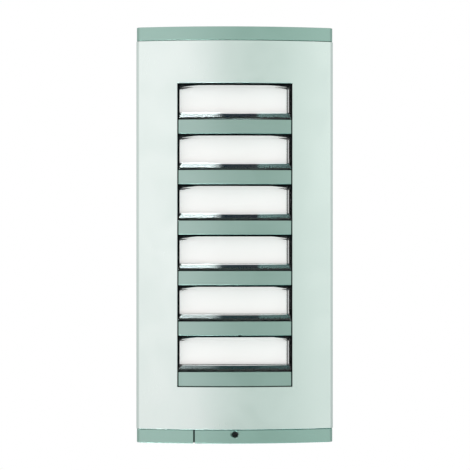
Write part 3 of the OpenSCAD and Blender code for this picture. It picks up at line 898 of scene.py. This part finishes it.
@dataclass
class CircuitBoard:
    """The board with its parts, which show when the front swings open."""

    wardrobe: Wardrobe
    chip_place: tuple[float, float] = (-11.0 * MM, 7.0 * MM)
    chip_half: float = 4.1 * MM
    chip_depths: tuple[float, float] = (0.2 * MM, 1.8 * MM)
    chip_leg: LegShape = LegShape(0.9 * MM, 0.32 * MM, 0.8 * MM, 0.8 * MM)
    small_chips_x: tuple[float, ...] = (3.5 * MM, 9.5 * MM, 15.5 * MM, 21.5 * MM)
    small_chip_half: tuple[float, float] = (0.95 * MM, 2.4 * MM)
    small_chip_depths: tuple[float, float] = (0.1 * MM, 1.05 * MM)
    small_leg: LegShape = LegShape(0.58 * MM, 0.35 * MM, 0.45 * MM, 1.1 * MM)
    capacitors_x: tuple[float, ...] = (-22.0 * MM, -11.0 * MM)
    capacitors_z: float = -32.0 * MM
    capacitor_radius: float = 4.0 * MM
    relay_low: tuple[float, float] = (6.0 * MM, -38.0 * MM)
    relay_high: tuple[float, float] = (22.0 * MM, -26.0 * MM)
    relay_depth: float = 2.6 * MM
    relay_foot: float = 0.5 * MM
    filters: int = 8
    filter_pitch: float = 5.0 * MM
    filter_rise: float = 10.0 * MM
    leg_t: float = 0.15 * MM

    def build(self) -> None:
        """Dresses the board and builds its parts in their real shapes."""
        self.wardrobe.node("board_resin", "circuit_board")
        self.wardrobe.node("fixing_steel", "circuit_board_screws")
        self.wardrobe.node("lamp_plastic", "nameplate_leds")
        self.wardrobe.eased("terminal_block", "terminal_plastic", "front", 0.15)
        self.wardrobe.node("fixing_steel", "terminal_screws")
        self.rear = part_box("circuit_board")[1].y
        self.chips()
        self.capacitors()
        self.relay()
        self.line_filters()
        log.info("circuit board: chips, capacitors, relay, line filters, terminal block and lamps")

    def leg(self, bm: bmesh.types.BMesh, start: Vector, way: Vector, shape: LegShape) -> None:
        """Adds one bent leg of a chip.

        Args:
            bm: The mesh it is added to.
            start: Where the leg leaves the body, at its middle.
            way: Its direction away from the body.
            shape: Its sizes.
        """
        side = Vector((abs(way.z), 0.0, abs(way.x))) * shape.width / 2
        out = way * shape.reach
        ends = [bm.verts.new(start - side), bm.verts.new(start + side)]
        edge = bm.edges.new(ends)
        made = []
        for step in (out * 0.35, out * 0.15 - Vector((0, shape.drop, 0)), out * 0.5):
            new = bmesh.ops.extrude_edge_only(bm, edges=[edge])["geom"]
            verts = [part for part in new if isinstance(part, bmesh.types.BMVert)]
            moved(bm, verts, step)
            made += [part for part in new if isinstance(part, bmesh.types.BMFace)]
            across = [part for part in new if isinstance(part, bmesh.types.BMEdge)]
            edge = next(part for part in across if set(part.verts) == set(verts))
        bmesh.ops.solidify(bm, geom=made, thickness=self.leg_t)

    def chips(self) -> None:
        """Builds the sound chip with legs on four sides and the small chips with legs on two."""
        bodies, legs = bmesh.new(), bmesh.new()
        rear = self.rear
        x, z = self.chip_place
        half, (under, over) = self.chip_half, self.chip_depths
        brick(bodies, (x - half, rear + under, z - half), (x + half, rear + over, z + half), 0.15 * MM)
        for k in range(-4, 5):
            for way in (Vector((1, 0, 0)), Vector((-1, 0, 0)), Vector((0, 0, 1)), Vector((0, 0, -1))):
                along = Vector((way.z, 0.0, way.x)) * k * self.chip_leg.pitch
                start = Vector((x, rear + 0.9 * MM, z)) + way * (half - 0.05 * MM) + along
                self.leg(legs, start, way, self.chip_leg)
        wide, tall = self.small_chip_half
        under, over = self.small_chip_depths
        for x in self.small_chips_x:
            brick(bodies, (x - wide, rear + under, z - tall), (x + wide, rear + over, z + tall), 0.1 * MM)
            for k in (-1.5, -0.5, 0.5, 1.5):
                for side in (-1, 1):
                    place = (x + side * (wide - 0.05 * MM), rear + 0.55 * MM, z + k * self.small_leg.pitch)
                    self.leg(legs, Vector(place), Vector((side, 0, 0)), self.small_leg)
        smooth(bodies)
        self.wardrobe.piece("chip_bodies", bodies, "component_plastic", "front", "board_components")
        self.wardrobe.piece("chip_legs", legs, "fixing_steel", "front")

    def capacitors(self) -> None:
        """Builds two can capacitors with a rolled groove and a scored top."""
        sleeves, tops = bmesh.new(), bmesh.new()
        rear, high = self.rear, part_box("board_components")[1].y
        r = self.capacitor_radius
        outline = [(0.0, rear), (r - 0.3 * MM, rear), (r, rear + 0.3 * MM), (r, rear + 0.9 * MM),
                   (r - 0.35 * MM, rear + 1.2 * MM), (r, rear + 1.5 * MM), (r, high - 0.4 * MM),
                   (r - 0.4 * MM, high), (r - 0.75 * MM, high - 0.02 * MM), (0.0, high - 0.06 * MM)]
        scored = [(0.0, high - 0.3 * MM), (r - 0.8 * MM, high - 0.3 * MM), (r - 0.8 * MM, high - 0.03 * MM),
                  (r - 1.0 * MM, high), (0.0, high)]
        for x in self.capacitors_x:
            centre = Vector((x, 0.0, self.capacitors_z))
            turned(sleeves, outline, centre, 36)
            turned(tops, scored, centre, 36)
        smooth(sleeves)
        smooth(tops)
        self.wardrobe.piece("capacitor_sleeves", sleeves, "component_plastic", "front")
        self.wardrobe.piece("capacitor_tops", tops, "fixing_steel", "front")

    def relay(self) -> None:
        """Builds the door relay: a block with a stepped foot and a shallow sunk panel."""
        rear = self.rear
        (left, bottom), (right, top) = self.relay_low, self.relay_high
        low, high = Vector((left, rear, bottom)), Vector((right, rear + self.relay_depth, top))
        foot = bmesh.new()
        brick(foot, low, (right, rear + self.relay_foot, top), 0.1 * MM)
        rim = Vector((0.5 * MM, 0.0, 0.5 * MM))
        body = bmesh.new()
        bmesh.ops.create_cube(body, size=1.0)
        bmesh.ops.scale(body, verts=body.verts, vec=(high - low) - 2 * rim)
        moved(body, list(body.verts), (low + high) / 2)
        face = max(body.faces, key=lambda f: f.normal.y)
        bmesh.ops.inset_individual(body, faces=[face], thickness=1.2 * MM, depth=-0.25 * MM)
        edges = [e for e in body.edges if e.calc_face_angle(0.0) > 0.5]
        bmesh.ops.bevel(
            body, geom=edges, offset=0.2 * MM, segments=2, affect="EDGES", profile=0.5, material=-1
        )
        smooth(body)
        self.wardrobe.piece("relay_foot", foot, "component_plastic", "front")
        self.wardrobe.piece("door_relay", body, "switch_plastic", "front")

    def line_filters(self) -> None:
        """Builds the row of small filters beside the terminals, each with two metal ends."""
        cores, ends = bmesh.new(), bmesh.new()
        rear = self.rear
        low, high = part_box("terminal_block")
        z = (low.z + high.z) / 2 + self.filter_rise
        for k in range(self.filters):
            x = self.filter_pitch * (k - (self.filters - 1) / 2)
            brick(cores, (x - 0.85 * MM, rear, z - 1.4 * MM), (x + 0.85 * MM, rear + 1.3 * MM, z + 1.4 * MM),
                  0.1 * MM)
            for side in (-1, 1):
                brick(ends, (x - 0.95 * MM, rear, z + side * 1.65 * MM - 0.3 * MM),
                      (x + 0.95 * MM, rear + 1.38 * MM, z + side * 1.65 * MM + 0.3 * MM), 0.12 * MM)
        smooth(cores)
        smooth(ends)
        self.wardrobe.piece("line_filters", cores, "component_plastic", "front")
        self.wardrobe.piece("line_filter_ends", ends, "fixing_steel", "front")


# ---- Wall box ----


@dataclass
class WallBox:
    """The box on the wall with its seal, cable grommet, hinge pins and lock screw."""

    wardrobe: Wardrobe
    lip: float = 0.45 * MM
    neck_radius: float = 6.18 * MM
    flange_depth: float = 2.4 * MM
    mouth_steps: tuple[float, float, float] = (1.6 * MM, 0.9 * MM, 0.2 * MM)
    mouth_depths: tuple[float, float] = (0.1 * MM, 0.5 * MM)

    def build(self) -> None:
        """Dresses the box, seal, pins and screw, and turns the grommet."""
        self.wardrobe.node("box_plastic", "wall_box")
        self.wardrobe.node("seal_rubber", "wall_seal")
        self.wardrobe.node("fixing_steel", "hinge_pins", "lock_screw_collar")
        self.wardrobe.node("dark_steel", "lock_screw")
        self.grommet()
        log.info("wall box: box, seal, grommet, hinge pins and lock screw")

    def grommet(self) -> None:
        """Turns the cable grommet, with a rounded flange and a funnelled mouth."""
        low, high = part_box("cable_grommet")
        centre = Vector(((low.x + high.x) / 2, 0.0, (low.z + high.z) / 2))
        bore = frame_bore("cable_entry")
        outer = (high.x - low.x) / 2
        bm = bmesh.new()
        front, rear, lip, neck = low.y, high.y, self.lip, self.neck_radius
        flange = front + self.flange_depth
        wide, middle, narrow = self.mouth_steps
        outline = [(bore, rear), (neck, rear), (neck, flange), (outer - lip, flange), (outer, flange - lip),
                   (outer, front + lip * 2), (outer - lip, front + lip), (bore + wide, front + lip * 0.6),
                   (bore + middle, front), (bore + narrow, front + self.mouth_depths[0]),
                   (bore, front + self.mouth_depths[1]), (bore, rear)]
        turned(bm, outline, centre, 64)
        smooth(bm, 40.0)
        self.wardrobe.piece("grommet", bm, "seal_rubber", "wall_box", "cable_grommet")


def frame_bore(mount: str) -> float:
    """Radius of a bore that the record states.

    Args:
        mount: The mount's name.

    Returns:
        Its radius.
    """
    for stated in frame["record"]["mounts"]:
        if stated["name"] == mount:
            return stated["dims"]["r_mm"] * MM
    raise ValueError(f"the record states no mount {mount}")


# ---- Studio ----


@dataclass
class Studio:
    """The camera, the soft light round the panel and the pale floor."""

    distance: float = 0.8
    yaw: float = math.radians(1.2)
    lens_mm: float = 103.4
    floor_drop: float = 0.33
    floor_radius: float = 1.1
    floor_glow: tuple[float, ...] = (0.55, 1.0, 0.24, 0.9)
    dip_below: tuple[float, ...] = (-0.22, -0.05, 0.72, 1.0)
    dip_above: tuple[float, ...] = (0.05, 0.3, 1.0, 0.88)
    behind_camera: tuple[float, ...] = (0.0, 0.35, 1.0, 0.55)
    low_band: tuple[float, float] = (-0.64, -0.7)
    low_fade: tuple[float, float] = (-0.785, -0.86)
    foot_colour: Colour = (0.05, 0.6, 0.6)
    sides: Stops = field(default_factory=lambda: (
        (-1.0, (0.80, 0.79, 0.79)), (-0.6, (1.04, 1.00, 1.00)), (-0.3, (1.24, 1.13, 1.16)),
        (-0.16, (1.26, 1.14, 1.18)), (-0.06, (0.85, 0.85, 0.85)), (0.03, (0.53, 0.62, 0.57)),
        (0.18, (0.56, 0.64, 0.60)), (0.34, (0.90, 0.93, 0.91)), (0.48, (1.12, 1.10, 1.09)),
        (0.7, (0.9, 0.9, 0.9)), (1.0, (0.75, 0.75, 0.75)),
    ))
    below: Stops = field(default_factory=lambda: (
        (-1.0, (0.8, 0.8, 0.8)), (-0.36, (0.9, 0.9, 0.9)), (-0.28, (19.0, 22.0, 22.0)),
        (-0.08, (19.0, 22.0, 22.0)), (-0.03, (0.0, 0.2, 0.4)), (0.11, (0.0, 0.05, 0.2)),
        (0.125, (2.4, 4.4, 4.2)), (0.26, (1.2, 2.5, 2.3)), (0.36, (0.7, 0.8, 0.76)), (1.0, (0.8, 0.8, 0.8)),
    ))

    def build(self) -> None:
        """Makes the camera, the light and the floor."""
        self.camera()
        self.light()
        self.floor()
        bpy.context.scene.view_settings.view_transform = "Standard"
        log.info("studio: camera, soft light and floor")

    def camera(self) -> None:
        """Places the camera in front of the panel, a little to its left."""
        low, high = CAD_BOX
        centre = (low + high) / 2
        target = Vector((centre.x, low.y, centre.z))
        back = Vector((-math.sin(self.yaw), -math.cos(self.yaw), 0.0))
        data = bpy.data.cameras.new("camera")
        data.lens, data.sensor_width = self.lens_mm, 36.0
        data.clip_start, data.clip_end = 0.05, 20.0
        camera = bpy.data.objects.new("camera", data)
        camera.location = target + back * self.distance
        camera.rotation_euler = (-back).to_track_quat("-Z", "Y").to_euler()
        bpy.context.scene.collection.objects.link(camera)
        bpy.context.scene.camera = camera

    @staticmethod
    def _ramp(tree: Tree, value: Socket, stops: Stops) -> Socket:
        """Colours a direction.

        Args:
            tree: The world's tree.
            value: Sideways part of the direction, -1 to 1.
            stops: The value and colour of each stop.

        Returns:
            The colour, which may be brighter than 1.
        """
        peak = max(max(colour) for _, colour in stops)
        ramp = tree.add("ValToRGB")
        marks = ramp.color_ramp.elements
        while len(marks) < len(stops):
            marks.new(0.5)
        for mark, (at, colour) in zip(marks, stops):
            mark.position = (at + 1.0) / 2
            mark.color = (*(c / peak for c in colour), 1.0)
        tree.feed(ramp.inputs[0], tree.sum("MULTIPLY_ADD", value, 0.5, 0.5))
        scaled = tree.add("VectorMath", operation="SCALE")
        tree.feed(scaled.inputs[0], ramp.outputs[0])
        tree.feed(scaled.inputs["Scale"], peak)
        return scaled.outputs[0]

    def light(self) -> None:
        """Builds the room's soft light: bright from the left, dimmer round the camera."""
        world = bpy.data.worlds.new("soft_room")
        bpy.context.scene.world = world
        world.use_nodes = True
        world.node_tree.nodes.clear()
        tree = Tree(world.node_tree)
        way = tree.add("SeparateXYZ")
        tree.feed(way.inputs[0], tree.add("TexCoord").outputs["Generated"])
        across, up = way.outputs[0], way.outputs[2]
        upper = self._ramp(tree, across, self.sides)
        lower = self._ramp(tree, across, self.below)
        dim = tree.sum("MULTIPLY", tree.between(up, *self.dip_below), tree.between(up, *self.dip_above))
        shaded = tree.add("VectorMath", operation="SCALE")
        tree.feed(shaded.inputs[0], upper)
        tree.feed(shaded.inputs["Scale"], dim)
        low_light = tree.mix(tree.between(up, *self.low_fade), lower, self.foot_colour)
        room = tree.mix(tree.between(up, *self.low_band), shaded.outputs[0], low_light)
        behind = tree.add("VectorMath", operation="SCALE")
        tree.feed(behind.inputs[0], room)
        tree.feed(behind.inputs["Scale"], tree.between(way.outputs[1], *self.behind_camera))
        path = tree.add("LightPath")
        seen = tree.mix(path.outputs["Is Camera Ray"], behind.outputs[0], (1.0, 1.0, 1.0))
        background = tree.add("Background")
        tree.feed(background.inputs["Color"], seen)
        out = tree.add("OutputWorld")
        tree.feed(out.inputs["Surface"], background.outputs[0])

    def floor(self) -> None:
        """Lays a pale round floor well below the panel, which glows out to white at its rim."""
        low, high = CAD_BOX
        bm = bmesh.new()
        disc = bmesh.ops.create_circle(bm, cap_ends=True, segments=96, radius=self.floor_radius)["verts"]
        moved(bm, disc, ((low.x + high.x) / 2, -0.2, low.z - self.floor_drop))
        mesh = bpy.data.meshes.new("floor")
        bm.to_mesh(mesh)
        bm.free()
        material = bpy.data.materials.new("floor")
        material.use_nodes = True
        tree = Tree(material.node_tree)
        shader = material.node_tree.nodes["Principled BSDF"]
        shader.inputs["Base Color"].default_value = (0.9, 0.9, 0.9, 1.0)
        shader.inputs["Emission Color"].default_value = (1.0, 1.0, 1.0, 1.0)
        shader.inputs["Roughness"].default_value = 0.9
        reach = tree.add("VectorMath", operation="LENGTH")
        tree.feed(reach.inputs[0], tree.add("TexCoord").outputs["Object"])
        glow = tree.between(reach.outputs["Value"], *self.floor_glow)
        tree.feed(shader.inputs["Emission Strength"], glow)
        mesh.materials.append(material)
        floor = bpy.data.objects.new("floor", mesh)
        bpy.context.scene.collection.objects.link(floor)
        floor.visible_glossy = False
        floor.visible_transmission = False
        floor.visible_diffuse = False


def main() -> None:
    """Builds and dresses every sub-assembly, then the studio."""
    logging.basicConfig(level=logging.INFO, format="%(name)s: %(message)s")
    wardrobe = Wardrobe(FINISHES)
    Front(wardrobe).build()
    Carrier(wardrobe).build()
    for number in CALLS:
        CallUnit(wardrobe, number).build()
    CircuitBoard(wardrobe).build()
    WallBox(wardrobe).build()
    Studio().build()


if __name__ == "__main__":
    main()
